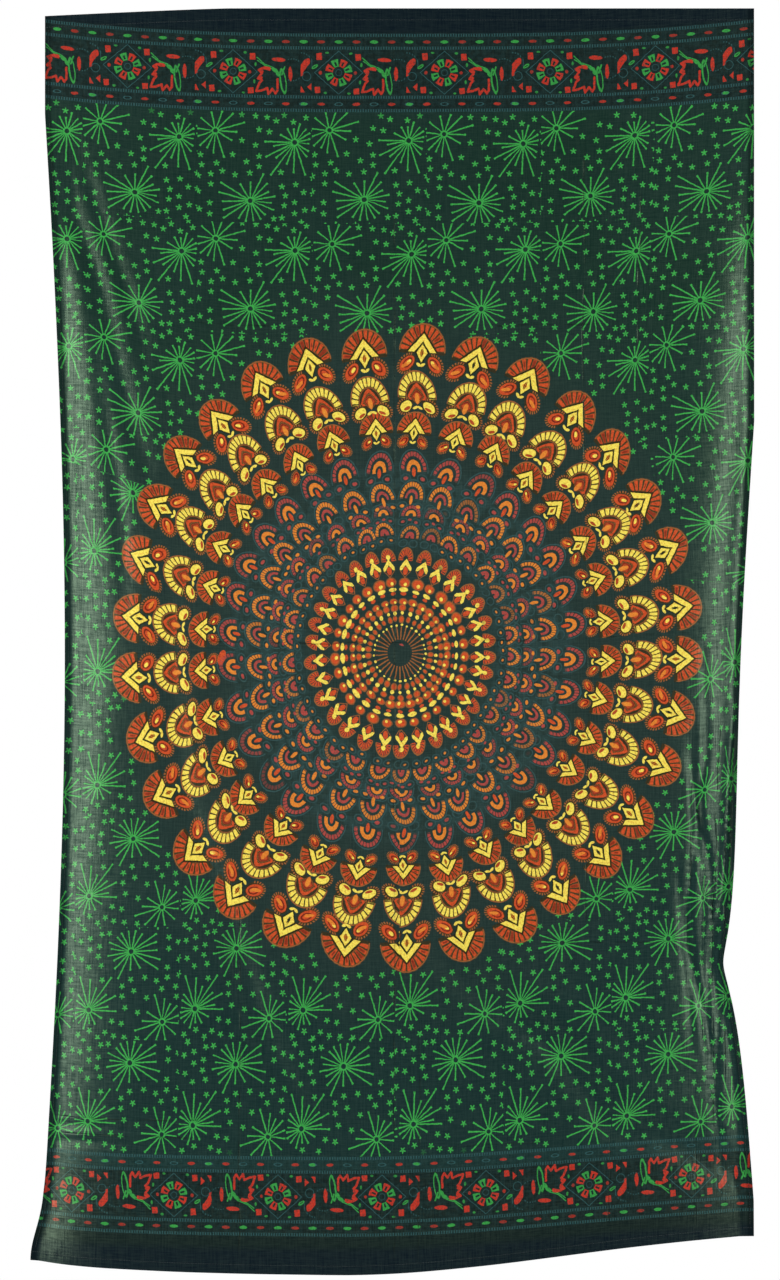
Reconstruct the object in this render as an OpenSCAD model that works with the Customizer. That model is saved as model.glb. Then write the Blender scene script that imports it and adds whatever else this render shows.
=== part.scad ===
// Printed cotton wall hanging: one loom-width panel, turned and stitched on all four edges.
// Seen from the front (looking along +Y), X runs to the right and Z up. The wall is the plane Y = 0.
// The origin is the middle of the flat back of the top hem, which is the face laid on the wall.

/* [Cloth] */
// Width of the panel along its top edge
cloth_w = 1102; // [900:1:1300]
// Length of the panel from its top edge to the lowest point of its bottom edge
cloth_drop = 1962; // [1700:1:2300]
// Thickness of the woven cotton
cloth_t = 0.4; // [0.3:0.05:0.6]

/* [Hems] */
// Height of the turned hem along the top
top_hem_h = 20; // [14:1:40]
// Height of the turned hem along the bottom
bottom_hem_h = 16; // [12:1:40]
// Width of the turned hem down each side
side_hem_w = 8; // [6:1:20]
// Distance of each row of stitches from the inner edge of its hem
stitch_inset = 2; // [1.5:0.5:3]
// Width of the sewing thread
thread_w = 0.6; // [0.4:0.1:1]

/* [Outline] */
// How far the left edge is drawn in at mid height
left_draw = 31; // [0:1:60]
// How far the right edge is drawn in along its lower half
right_draw = 26; // [0:1:60]
// Extra pinch of the right edge at the gathers
right_pinch = 31; // [0:1:60]
// How far the bottom left corner flares out
corner_flare = 22; // [0:1:40]
// How far the bottom left corner hangs above the lowest point
left_lift = 18; // [0:1:60]
// How far the bottom right corner hangs above the lowest point
right_lift = 54; // [0:1:90]

/* [Drape] */
// How far the middle of the cloth stands off the wall
belly_depth = 30; // [0:1:60]
// Width over which each side falls back to the wall
belly_reach = 110; // [60:5:200]
// Depth of the soft waves across the whole width
wave_depth = 8; // [0:1:20]
// Number of soft waves
wave_count = 3; // [1:1:5]
// Depth of the gathers beside the right edge
gather_depth = 14; // [0:1:40]
// Number of gathers
gather_count = 3; // [1:1:4]
// Width that the gathers take up
gather_reach = 190; // [120:10:300]

/* [Hidden] */

// A hem is the cloth turned under twice, so it adds two layers behind the panel.
hem_t = 2 * cloth_t;
thread_t = 0.4;
top_z = top_hem_h / 2;
gather_start = cloth_w - 1.3 * gather_reach;
fall_columns = 6;
plain_columns = 13;
gather_columns = 20;
panel_rows = 34;

// Heights down the panel, as parts of the drop, where the outline changes
left_draw_span = [0.08, 0.945];
right_draw_span = [0.33, 0.97];
pinch_height = 0.773;
pinch_span = 0.048;
flare_span = 0.035;
lowest_point = 0.43;

cloth_green = "#1d332f";
hem_green = "#182b29";
thread_green = "#3a4b45";

function smooth(t) = t <= 0 ? 0 : t >= 1 ? 1 : t * t * (3 - 2 * t);
function hump(t, span) = sin(180 * min(1, max(0, (t - span[0]) / (span[1] - span[0]))));

// The outline: how far each edge moves in, and how far the bottom edge lifts
function left_in(t) =
    left_draw * hump(t, left_draw_span) - corner_flare * exp(-pow((1 - t) / flare_span, 2));
function right_in(t) =
    right_draw * hump(t, right_draw_span)
    + right_pinch * (exp(-abs(t - pinch_height) / pinch_span) - exp(-pinch_height / pinch_span));
function lift(u) =
    u < lowest_point
        ? left_lift * pow(1 - u / lowest_point, 2)
        : right_lift * smooth((u - lowest_point) / (1 - lowest_point));

// The relief: how far the cloth stands off the wall
function belly(u, t) =
    belly_depth * smooth((t - 0.02) / 0.3) * smooth(min(u, 1 - u) * cloth_w / belly_reach);
function waves(u, t) = wave_depth * smooth((t - 0.03) / 0.3) * (1 - cos(360 * wave_count * u)) / 2;
function gathers(u, t) =
    let (d = (1 - u) * cloth_w / gather_reach)
    gather_depth * smooth((t - 0.3) / 0.35) * smooth(1.3 - d) * (1 - cos(360 * gather_count * d)) / 2;

// A point of the panel's back face. a is the distance from the left edge, b the distance down.
function back_point(a, b) =
    let (u = a / cloth_w, t = b / cloth_drop,
         x0 = left_in(t) - cloth_w / 2, x1 = cloth_w / 2 - right_in(t))
    [x0 + u * (x1 - x0), -hem_t - belly(u, t) - waves(u, t) - gathers(u, t),
     top_z - b + lift(u) * t * t];

// Where the hems and rows of stitches fall across and down the panel
side_stitch = [side_hem_w - stitch_inset - thread_w, side_hem_w - stitch_inset];
bottom_stitch = [bottom_hem_h - stitch_inset - thread_w, bottom_hem_h - stitch_inset];
top_stitch = [top_hem_h - stitch_inset - thread_w, top_hem_h - stitch_inset];

function from_end(length, list) = [for (k = [len(list) - 1:-1:0]) length - list[k]];
function between(a, b, n) = [for (k = [1:n - 1]) a + (b - a) * k / n];

left_columns = concat([0], side_stitch, [side_hem_w]);
right_columns = from_end(cloth_w, left_columns);
columns = concat(left_columns,
                 between(side_hem_w, belly_reach, fall_columns), [belly_reach],
                 between(belly_reach, gather_start, plain_columns), [gather_start],
                 between(gather_start, cloth_w - side_hem_w, gather_columns), right_columns);

top_rows = concat([0], top_stitch, [top_hem_h]);
bottom_rows = from_end(cloth_drop, concat([0], bottom_stitch, [bottom_hem_h]));
middle_rows = concat([top_hem_h],
                     between(top_hem_h, cloth_drop - bottom_hem_h, panel_rows), [bottom_rows[0]]);
rows = concat(top_rows, between(top_hem_h, bottom_rows[0], panel_rows), bottom_rows);

// A closed piece of cloth on the panel's surface. near and far are how far its two faces
// stand in front of the panel's back face.
module patch(as, bs, near, far) {
    n = len(as);
    m = len(bs);
    points = [for (offset = [far, near]) for (b = bs) for (a = as) back_point(a, b) - [0, offset, 0]];
    function front(j, i) = j * n + i;
    function back(j, i) = n * m + j * n + i;
    cells = [for (j = [0:m - 2]) for (i = [0:n - 2]) [j, i]];
    front_faces = [for (c = cells) let (j = c[0], i = c[1])
        each [[front(j, i), front(j, i + 1), front(j + 1, i + 1)],
              [front(j, i), front(j + 1, i + 1), front(j + 1, i)]]];
    back_faces = [for (c = cells) let (j = c[0], i = c[1])
        each [[back(j, i), back(j + 1, i + 1), back(j, i + 1)],
              [back(j, i), back(j + 1, i), back(j + 1, i + 1)]]];
    top_rim = [for (i = [0:n - 2])
        each [[front(0, i + 1), front(0, i), back(0, i)],
              [front(0, i + 1), back(0, i), back(0, i + 1)]]];
    bottom_rim = [for (i = [0:n - 2])
        each [[front(m - 1, i), front(m - 1, i + 1), back(m - 1, i + 1)],
              [front(m - 1, i), back(m - 1, i + 1), back(m - 1, i)]]];
    left_rim = [for (j = [0:m - 2])
        each [[front(j, 0), front(j + 1, 0), back(j + 1, 0)],
              [front(j, 0), back(j + 1, 0), back(j, 0)]]];
    right_rim = [for (j = [0:m - 2])
        each [[front(j + 1, n - 1), front(j, n - 1), back(j, n - 1)],
              [front(j + 1, n - 1), back(j, n - 1), back(j + 1, n - 1)]]];
    polyhedron(points, concat(front_faces, back_faces, top_rim, bottom_rim, left_rim, right_rim));
}

// The printed panel itself
module printed_cloth() {
    color(cloth_green) patch(columns, rows, 0, cloth_t);
}

// The flat turned strip that is laid on the wall
module top_hem() {
    color(hem_green) translate([-cloth_w / 2, -hem_t, -top_hem_h / 2]) cube([cloth_w, hem_t, top_hem_h]);
}

module bottom_hem() {
    color(hem_green) patch(columns, bottom_rows, -hem_t, 0);
}

module left_hem() {
    color(hem_green) patch(left_columns, middle_rows, -hem_t, 0);
}

module right_hem() {
    color(hem_green) patch(right_columns, middle_rows, -hem_t, 0);
}

// One row of thread on the front of the panel
module thread_row(as, bs) {
    color(thread_green) patch(as, bs, cloth_t, cloth_t + thread_t);
}

module top_seam_thread() {
    thread_row([side_hem_w, cloth_w - side_hem_w], top_stitch);
}

module bottom_seam_thread() {
    inner = [for (k = [3:len(columns) - 4]) columns[k]];
    thread_row(inner, from_end(cloth_drop, bottom_stitch));
}

module left_seam_thread() {
    thread_row(side_stitch, middle_rows);
}

module right_seam_thread() {
    thread_row(from_end(cloth_w, side_stitch), middle_rows);
}

printed_cloth();
top_hem();
bottom_hem();
left_hem();
right_hem();
top_seam_thread();
bottom_seam_thread();
left_seam_thread();
right_seam_thread();
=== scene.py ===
import math
import random

import bpy
import numpy as np
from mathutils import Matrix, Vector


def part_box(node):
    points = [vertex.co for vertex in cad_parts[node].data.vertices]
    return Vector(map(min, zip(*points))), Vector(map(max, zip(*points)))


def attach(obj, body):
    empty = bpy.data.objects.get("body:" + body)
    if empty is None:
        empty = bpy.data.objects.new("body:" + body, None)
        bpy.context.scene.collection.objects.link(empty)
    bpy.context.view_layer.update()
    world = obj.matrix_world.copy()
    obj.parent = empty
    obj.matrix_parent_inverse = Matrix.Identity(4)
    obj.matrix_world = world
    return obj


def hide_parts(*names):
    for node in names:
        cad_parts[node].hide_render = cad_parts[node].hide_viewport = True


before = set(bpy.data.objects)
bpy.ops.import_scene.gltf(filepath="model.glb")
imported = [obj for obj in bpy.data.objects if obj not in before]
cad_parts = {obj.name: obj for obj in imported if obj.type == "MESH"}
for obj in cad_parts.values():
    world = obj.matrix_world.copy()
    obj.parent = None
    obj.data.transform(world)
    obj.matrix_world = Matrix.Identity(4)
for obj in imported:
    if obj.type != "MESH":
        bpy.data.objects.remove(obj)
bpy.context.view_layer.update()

# ---- Sizes. The print and the drape are laid out in millimetres on the cloth: across from its
# middle, to the right, and down from its top edge. The scene is in metres.
PER_METRE = 1000.0
MM = 1 / PER_METRE
hem_low, hem_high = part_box("top_hem")
cloth_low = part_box("printed_cloth")[0]
TOP = hem_high[2] / MM
WIDTH = (hem_high[0] - hem_low[0]) / MM
DROP = TOP - cloth_low[2] / MM
HEM_H = (hem_high[2] - hem_low[2]) / MM
LAYER = (hem_high[1] - hem_low[1]) / MM / 2     # thickness of one layer of cloth
HALF = WIDTH / 2
PANEL = 2.5 * LAYER                             # the panel lies in front of the two hem layers

SIDE_HEM = 8.0
BOTTOM_HEM = 16.0
STITCH_IN = 2.0                      # from the hem's inner edge to its stitches

# The outline. Spans are parts of the drop, or of the width for the top and bottom edges.
LEFT_DRAW = 31.0                     # how far the left side is drawn in along its middle
LEFT_SPAN = (0.08, 0.945)
RIGHT_DRAW = 26.0
RIGHT_SPAN = (0.33, 0.97)
PINCH = 31.0                         # how much further the right side is drawn in at its pinch
PINCH_AT = 0.773
PINCH_ROUND = 0.008
PINCH_REACH = 0.048
FLARE = 22.0                         # how far the bottom left corner stands out
FLARE_REACH = 0.035
LEFT_LIFT = 18.0                     # how far the bottom corners hang above its lowest point
RIGHT_LIFT = 54.0
LOWEST = 0.43
SAG = 12.0                           # the top edge droops to its left corner
SAG_SPAN = 0.26

# How far the cloth stands off the wall
BELLY = 35
LIP = 3                              # how much more its side edges stand forward
LIP_REACH = 12
EDGE_FLAT = 11                       # the belly starts this far in from the side edges


# ---- The drape: where each point of the cloth hangs
def smooth(t):
    t = np.clip(t, 0.0, 1.0)
    return t * t * (3 - 2 * t)


def hump(t, span):
    return np.sin(np.pi * np.clip((t - span[0]) / (span[1] - span[0]), 0.0, 1.0))


def left_in(t):
    return LEFT_DRAW * hump(t, LEFT_SPAN) - FLARE * np.exp(-((1 - t) / FLARE_REACH) ** 2)


def right_in(t):
    pinch = np.exp(-np.sqrt((t - PINCH_AT) ** 2 + PINCH_ROUND ** 2) / PINCH_REACH)
    return RIGHT_DRAW * hump(t, RIGHT_SPAN) + PINCH * pinch


def lift(u):
    left = LEFT_LIFT * np.clip(1 - u / LOWEST, 0, 1) ** 2
    right = RIGHT_LIFT * smooth((u - LOWEST) / (1 - LOWEST))
    return np.where(u < LOWEST, left, right)


# Folds and drag lines: points on the hung cloth (across, down), how far each stands forward of
# the cloth around it (back, if negative), and the half-width of the fold
FOLDS = [
    # from the top left corner down the left side
    ([(-545, 150), (-504, 321), (-466, 430), (-419, 632), (-377, 748)], -5, 17),
    ([(-530, 260), (-485, 460), (-440, 660)], 1.2, 21),
    ([(-510, 190), (-466, 321), (-419, 453), (-390, 560)], -3, 13),
    ([(-489, 375), (-458, 608), (-431, 795), (-423, 960)], -3, 14),
    # the long drag line at the lower left, and its ridge
    ([(-357, 860), (-350, 1075), (-326, 1246), (-256, 1432), (-214, 1588), (-155, 1697),
      (-100, 1731), (0, 1737)], -6, 22),
    ([(-330, 1200), (-290, 1320), (-225, 1450), (-170, 1570), (-100, 1660)], 2, 26),
    # the one from the middle to the lower right, its ridge, and a soft one between the two
    ([(-74, 1190), (-30, 1235), (16, 1339), (40, 1432), (86, 1487), (156, 1549), (234, 1603),
      (296, 1681), (330, 1731), (405, 1751), (498, 1798), (560, 1840)], -7, 27),
    ([(60, 1400), (150, 1480), (250, 1560), (330, 1650), (420, 1710)], 3, 30),
    ([(-139, 1479), (-85, 1588), (-15, 1666)], -4, 22),
    # tucks across the left of the bottom border
    ([(-545, 1735), (-470, 1733), (-400, 1738), (-310, 1733)], -3, 7),
    ([(-545, 1758), (-470, 1757), (-390, 1761)], -3, 7),
    # gathers beside the right edge
    ([(443, 1130), (458, 1260), (446, 1400), (458, 1500), (478, 1600), (490, 1760)], -5, 7),
    ([(470, 1000), (474, 1150), (462, 1240), (480, 1330), (492, 1480), (494, 1560), (492, 1700),
      (500, 1800)], -5, 6.5),
    ([(452, 1100), (456, 1230), (468, 1330), (482, 1420), (486, 1500)], -4, 6.5),
    ([(523, 1080), (512, 1180), (506, 1330), (500, 1430), (505, 1520), (520, 1640), (530, 1760)],
     -8, 7),
    ([(430, 1320), (438, 1430), (448, 1500), (452, 1620)], -4, 7),
    ([(480, 1380), (476, 1450), (480, 1560), (484, 1640)], -4, 6),
]


def along(points, count):
    """Points spaced evenly along a smooth line through the given ones, and how far along each is."""
    p = np.array(points, float)
    p = np.vstack([2 * p[0] - p[1], p, 2 * p[-1] - p[-2]])
    made = []
    for i in range(1, len(p) - 2):
        for t in np.linspace(0, 1, count, endpoint=False):
            a, b, c, d = p[i - 1:i + 3]
            made.append(0.5 * (2 * b + (c - a) * t + (2 * a - 5 * b + 4 * c - d) * t ** 2
                               + (3 * b - a - 3 * c + d) * t ** 3))
    made.append(p[-2])
    made = np.array(made)
    return made, np.linspace(0, 1, len(made))


def fold(x, down, points, height, half_width):
    line, part = along(points, 12)
    reach = 3.2 * half_width
    near = ((x > line[:, 0].min() - reach) & (x < line[:, 0].max() + reach)
            & (down > line[:, 1].min() - reach) & (down < line[:, 1].max() + reach))
    made = np.zeros_like(x)
    gap = (x[near][:, None] - line[None, :, 0]) ** 2 + (down[near][:, None] - line[None, :, 1]) ** 2
    nearest = gap.argmin(axis=1)
    taper = np.sin(np.pi * np.clip(part[nearest], 0.02, 0.98)) ** 0.6
    made[near] = height * taper * np.exp(-gap.min(axis=1) / half_width ** 2)
    return made


def waves(x, down):
    """Slow unevenness of the whole cloth."""
    made = np.zeros_like(x)
    chance = random.Random(7)
    for scale, height in ((700, 2.6), (420, 1.6), (230, 0.7), (120, 0.3)):
        for _ in range(4):
            turn = chance.uniform(-0.5, 0.5) + (0 if chance.random() < 0.7 else math.pi / 2)
            phase = chance.uniform(0, 2 * math.pi)
            made += height * np.sin(2 * math.pi * (x * math.cos(turn) + down * math.sin(turn)) / scale
                                    + phase) / 2
    return made


def rounded(far, reach):
    """Rises from 0 to 1, fastest at its start, over about twice the reach."""
    soft = np.logaddexp(0.0, far / 3.5) * 3.5
    return 1 - np.exp(-soft / reach)


def relief(x, down, from_left, from_right):
    """How far the cloth stands off the wall."""
    t = down / DROP
    loosen = smooth((t - 0.03) / 0.38)
    left = rounded(from_left - EDGE_FLAT, 35 + 18 * smooth((t - 0.2) / 0.4))
    right = rounded(from_right - EDGE_FLAT, 34 + 40 * smooth((t - 0.55) / 0.3))
    lip = np.exp(-(from_left / LIP_REACH) ** 2) + np.exp(-(from_right / LIP_REACH) ** 2)
    made = loosen * (BELLY * left * right + LIP * lip)
    made += smooth(t / 0.12) * waves(x, down)
    for points, height, half_width in FOLDS:
        made += smooth(t / 0.08) * fold(x, down, points, height, half_width)
    return np.maximum(made, 0.0) * smooth(t / 0.04)


def hang(u, t):
    """Places points of the cloth: u is the part of the width from the left, t of the drop."""
    x0, x1 = left_in(t) - HALF, HALF - right_in(t)
    x = x0 + u * (x1 - x0)
    down = t * DROP - lift(u) * t * t + sag(u) * (1 - smooth(t / 0.2))
    y = -PANEL - relief(x, down, x - x0, x1 - x)
    return x, y, TOP - down


def sag(u):
    return SAG * np.clip(1 - u / SAG_SPAN, 0, 1) ** 1.2


def spaced(breaks):
    """Cell edges from (end, cells) stretches of the unit interval."""
    made, start = [0.0], 0.0
    for end, cells in breaks:
        made += list(np.linspace(start, end, cells + 1)[1:])
        start = end
    return np.array(made)


COLUMNS = spaced([(SIDE_HEM / WIDTH, 4), (0.15, 46), (0.8, 104), (1 - SIDE_HEM / WIDTH, 62), (1, 4)])
ROWS = spaced([(HEM_H / DROP, 6), (1 - BOTTOM_HEM / DROP, 384), (1, 5)])


def surface(u, t):
    """Points of the cloth and the direction out of its front at each."""
    step = 0.0004
    points = np.stack(hang(u, t), axis=-1)
    across = np.stack(hang(u + step, t), axis=-1) - np.stack(hang(u - step, t), axis=-1)
    downward = np.stack(hang(u, t + step), axis=-1) - np.stack(hang(u, t - step), axis=-1)
    front = np.cross(downward, across)
    return points, front / np.linalg.norm(front, axis=-1, keepdims=True)


# ---- Meshes
def new_mesh(name, points, faces, materials):
    mesh = bpy.data.meshes.new(name)
    mesh.from_pydata([tuple(p) for p in np.asarray(points).reshape(-1, 3) * MM], [], faces)
    mesh.update()
    mesh.polygons.foreach_set("use_smooth", [True] * len(mesh.polygons))
    piece = bpy.data.objects.new(name, mesh)
    bpy.context.scene.collection.objects.link(piece)
    for material in materials:
        mesh.materials.append(material)
    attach(piece, "root")
    return piece


def grid_faces(columns, rows):
    """Faces of a grid that look forward, out of the wall."""
    return [(j * columns + i, (j + 1) * columns + i, (j + 1) * columns + i + 1, j * columns + i + 1)
            for j in range(rows - 1) for i in range(columns - 1)]


# ---- Written arithmetic that becomes shader nodes
def feed(tree, node, inputs):
    """Puts a constant or a Num into each of a node's named or numbered inputs."""
    for socket, value in dict(inputs).items():
        if isinstance(value, Num):
            tree.links.new(value.out, node.inputs[socket])
        else:
            node.inputs[socket].default_value = value


def new_node(tree, kind, inputs=(), **settings):
    node = tree.nodes.new("ShaderNode" + kind)
    for name, value in settings.items():
        setattr(node, name, value)
    feed(tree, node, inputs)
    return node


def new_num(tree, kind, inputs=(), output=0, **settings):
    """One output of a new node."""
    return Num(tree, new_node(tree, kind, inputs, **settings).outputs[output])


def tree_of(values):
    return next(v.tree for v in values if isinstance(v, Num))


def math_node(kind, *values, clamp=False):
    return new_num(tree_of(values), "Math", enumerate(values), operation=kind, use_clamp=clamp)


def vector_node(kind, *values, scale=None, number=False):
    inputs = dict(enumerate(values))
    if scale is not None:
        inputs["Scale"] = scale
    return new_num(tree_of(values), "VectorMath", inputs, "Value" if number else "Vector",
                   operation=kind)


class Num:
    """A number, or a point, that varies over the cloth. Arithmetic on numbers adds Math nodes."""

    def __init__(self, tree, out):
        self.tree = tree
        self.out = out

    def __add__(self, other):
        return math_node("ADD", self, other)

    __radd__ = __add__

    def __sub__(self, other):
        return math_node("SUBTRACT", self, other)

    def __rsub__(self, other):
        return math_node("SUBTRACT", other, self)

    def __mul__(self, other):
        return math_node("MULTIPLY", self, other)

    __rmul__ = __mul__

    def __truediv__(self, other):
        return math_node("DIVIDE", self, other)

    def times_plus(self, factor, added, clamp=False):
        return math_node("MULTIPLY_ADD", self, factor, added, clamp=clamp)


SOFT = 0.5      # how far the edge of the ink fades into the cloth


def below(value, edge, soft=SOFT):
    if isinstance(edge, Num):
        return math_node("MULTIPLY_ADD", edge - value, 1 / soft, 0.5, clamp=True)
    return value.times_plus(-1 / soft, edge / soft + 0.5, clamp=True)


def above(value, edge, soft=SOFT):
    if isinstance(edge, Num):
        return math_node("MULTIPLY_ADD", value - edge, 1 / soft, 0.5, clamp=True)
    return value.times_plus(1 / soft, 0.5 - edge / soft, clamp=True)


def band(value, middle, half, soft=SOFT):
    return below(abs_of(value - middle), half, soft)


def abs_of(value):
    return math_node("ABSOLUTE", value)


def fract(value):
    return math_node("FRACT", value)


def joined(kind, parts):
    """Parts taken together one after another, each made only when its turn comes."""
    parts = iter(parts)
    made = next(parts)
    for part in parts:
        made = math_node(kind, made, part)
    return made


def both(*masks):
    return joined("MULTIPLY", masks)


def either(*masks):
    return joined("MAXIMUM", masks)


def without(mask, hole):
    return math_node("MULTIPLY", mask, 1 - hole)


def point(tree, x, y):
    return new_num(tree, "CombineXYZ", {0: x, 1: y})


def parts_of(p):
    node = new_node(p.tree, "SeparateXYZ", {0: p})
    return Num(p.tree, node.outputs[0]), Num(p.tree, node.outputs[1])


def angle_of(x, y):
    """Clockwise from up. With y and x exchanged, anticlockwise from the right."""
    return math_node("ARCTAN2", x, y)


def length_of(p):
    return vector_node("LENGTH", p, number=True)


def placed(p, centre, size=(1, 1), turn=0.0):
    """The point in the axes of a shape that stands at centre, turned by turn degrees."""
    inputs = {"Vector": p, "Location": (*centre, 0), "Rotation": (0, 0, math.radians(turn)),
              "Scale": (*size, 1)}
    return new_num(p.tree, "Mapping", inputs, vector_type="TEXTURE")


def ellipse(p, centre, size, turn=0.0):
    return below(length_of(placed(p, centre, size, turn)), 1, SOFT / min(size))


def ring(p, centre, size, thick, turn=0.0):
    small = min(size)
    return band(length_of(placed(p, centre, size, turn)), 1, thick / small, SOFT / small)


def oblong(p, centre, size, turn=0.0):
    x, y = parts_of(placed(p, centre, size, turn))
    return below(math_node("SMOOTH_MAX", abs_of(x), abs_of(y), 0.3), 1, SOFT / min(size))


def gap_to(p, a, b):
    """Distance from the stroke between two points."""
    step = (b[0] - a[0], b[1] - a[1])
    square = step[0] ** 2 + step[1] ** 2
    start = vector_node("SUBTRACT", p, (a[0], a[1], 0))
    part = vector_node("DOT_PRODUCT", start, (step[0] / square, step[1] / square, 0), number=True)
    part = math_node("MINIMUM", math_node("MAXIMUM", part, 0), 1)
    nearest = vector_node("SCALE", point(p.tree, *step), scale=part)
    return length_of(vector_node("SUBTRACT", start, nearest))


def stroke(p, points, half):
    return below(joined("MINIMUM", (gap_to(p, a, b) for a, b in zip(points, points[1:]))), half)


def chance(value):
    """A fixed random number from 0 to 1 for each whole number."""
    return fract(math_node("SINE", value * 12.9898) * 43758.5453)


def chance_at(p):
    return new_num(p.tree, "TexWhiteNoise", {"Vector": p}, "Color", noise_dimensions="2D")


def noise(p, scale, detail=2.0, rough=0.5, output="Fac"):
    inputs = {"Vector": p, "Scale": scale, "Detail": detail, "Roughness": rough}
    return new_num(p.tree, "TexNoise", inputs, output, noise_dimensions="2D")


def choose(mask, first, second):
    """second where the mask is 1, first where it is 0, for points."""
    return new_num(mask.tree, "Mix", {0: mask, 4: first, 5: second}, 1, data_type="VECTOR")


def mixed(mask, under, over):
    """The same for colours."""
    under, over = (colour if isinstance(colour, Num) else (*colour, 1.0) for colour in (under, over))
    return new_num(mask.tree, "Mix", {0: mask, 6: under, 7: over}, 2, data_type="RGBA")


def pattern_group(name, outputs, draw):
    """A node group that turns a point of the cloth into one mask for each ink."""
    group = bpy.data.node_groups.new(name, "ShaderNodeTree")
    group.interface.new_socket("Point", in_out="INPUT", socket_type="NodeSocketVector")
    for ink in outputs:
        group.interface.new_socket(ink, in_out="OUTPUT", socket_type="NodeSocketFloat")
    start = group.nodes.new("NodeGroupInput")
    masks = draw(Num(group, start.outputs[0]))
    end = group.nodes.new("NodeGroupOutput")
    for ink in outputs:
        group.links.new(masks[ink].out, end.inputs[ink])
    return group


def use_group(group, p):
    node = new_node(p.tree, "Group", node_tree=group)
    feed(p.tree, node, {0: p})
    return {out.name: Num(p.tree, out) for out in node.outputs}


class Inks(dict):
    """The masks of one pattern, by ink."""

    def add(self, ink, *masks):
        for mask in masks:
            self[ink] = either(self[ink], mask) if ink in self else mask


# ---- The print: field of stars
REPEAT = (178.0, 174.0)              # the star block's repeat, across and down
TOP_BLOCK = (-108, -192)             # the middle of the thirteen-ray star in one block at the top
LOW_BLOCK = (-371, -1577)            # and at the bottom, where the blocks are printed upside down
LOW_SCALE = (-0.945, -1)             # and closer together
BLOCK_CUT = (-28, 30)                # from that star to the block's left and top edges
TURN_OVER = (-827, -0.178)           # the line between the two: its height and slope
BLOCK_SLIP = 9.0                     # how far off its place a block may land, in all
RAY_CELL = 15                        # each rayed star has room for one ray in every 15 degrees
LONGEST = 70.0                       # no ray is longer than this
STAR_ARMS = 5

# The three rayed stars of a block, as they were read off: middle, radius of the ring, and
# the direction (degrees clockwise from up) and length of each ray
BURSTS = [
    ((0, 0), 4.6, [
        (-12, 30), (19, 33), (45, 40), (73, 48), (92, 34), (120, 30), (162, 44), (186, 36), (205, 31),
        (225, 35), (250, 30), (275, 29), (310, 30)]),
    ((-55, -16), 5.0, [
        (-28, 25), (-4, 22), (16, 31), (39, 28), (58, 28), (77, 25), (96, 23), (122, 26), (140, 30),
        (162, 54), (182, 48), (200, 37), (216, 64), (230, 39), (243, 51), (260, 34), (271, 47),
        (298, 26)]),
    ((54, -108), 5.0, [
        (-31, 31), (1, 30), (26, 48), (44, 39), (63, 33), (79, 40), (96, 34), (111, 40), (133, 33),
        (150, 34), (171, 33), (192, 34), (213, 34), (236, 51), (250, 45), (267, 44), (284, 51),
        (301, 54)]),
]

MIDDLE = (0.5, 0.5, 0.5)             # the middle of what random colours come to

# Small stars of a block, in hundredths of the repeat: right of and below the thirteen-ray star
SMALL_STARS = [
    (23, -15), (35, -14), (45, -13), (53, -10), (60, -15), (68, -9), (79, -13), (38, -2), (47, 0),
    (23, 8), (35, 12), (38, 22), (38, 31), (30, 37), (27, 27), (15, 21), (17, 39), (6, 36), (1, 29),
    (-4, 39), (-4, 48), (-12, 31), (-13, 22), (-5, 65), (-5, 75), (57, 36), (70, 47), (58, 49),
    (61, 57), (69, 63), (60, 66), (69, 73), (58, 77), (51, 78), (75, 81), (77, 54), (78, 70),
    (85, 55), (86, 71), (85, 41),
]


def ray_table(ray, rays):
    """Length, and lean from the middle of its cell, of the ray in each numbered cell."""
    cells = 360 // RAY_CELL
    node = new_node(ray.tree, "ValToRGB")
    feed(ray.tree, node, {0: fract(ray.times_plus(1 / cells, 0.5 / cells))})
    ramp = node.color_ramp
    ramp.interpolation = "CONSTANT"
    entries = {}
    for angle, length in rays:
        cell = round(angle / RAY_CELL)
        entries[cell % cells] = (length / LONGEST, 0.5 + angle / RAY_CELL - cell)
    for cell in range(cells):
        stop = ramp.elements[cell] if cell < 2 else ramp.elements.new(cell / cells)
        stop.position = cell / cells
        stop.color = (*entries.get(cell, (0.0, 0.5)), 0.0, 1.0)
    return parts_of(Num(ray.tree, node.outputs[0]))


def in_repeat(p, middle):
    """Where the point is from the nearest copy of middle, in blocks that repeat."""
    half = (REPEAT[0] / 2, REPEAT[1] / 2, 1)
    away = vector_node("SUBTRACT", p, (*middle, 0))
    return vector_node("WRAP", away, half, tuple(-side for side in half))


def burst(p, middle, ring_radius, rays):
    """A star of thin rays with knobbed ends round a small open ring, and how far right of and above
    its middle the point is."""
    here = in_repeat(p, middle)
    x, y = parts_of(here)
    far = length_of(here)
    turns = angle_of(x, y) * (180 / math.pi / RAY_CELL)
    ray = math_node("ROUND", turns)
    reach, lean = ray_table(ray, rays)
    reach = reach * LONGEST
    off = abs_of(turns - ray - lean + 0.5) * far * (math.radians(RAY_CELL))
    knob = above(far, reach - 3.0, 1.0) * 0.5
    line = both(below(off, knob + 1.1), below(far, reach), above(far, ring_radius))
    return either(line, band(far, ring_radius, 1.2)), x, y


def on_plane(p, shift):
    """The point moved by shift, and kept on the plane of the print."""
    return vector_node("MULTIPLY", vector_node("ADD", p, shift), (1, 1, 0))


def in_field(height, room):
    """1 for what stands between the two borders, at least room away from each."""
    top, low = BORDER_TOP[1] + LINES[3], BORDER_LOW[1] - LINES[3]
    return both(below(height, top - room, 1.0), above(height, low + room, 1.0))


def off_mandala(middle):
    """1 for what stands outside the mandala."""
    return above(length_of(mandala_frame(middle)), RIM - 10, 2)


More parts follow.
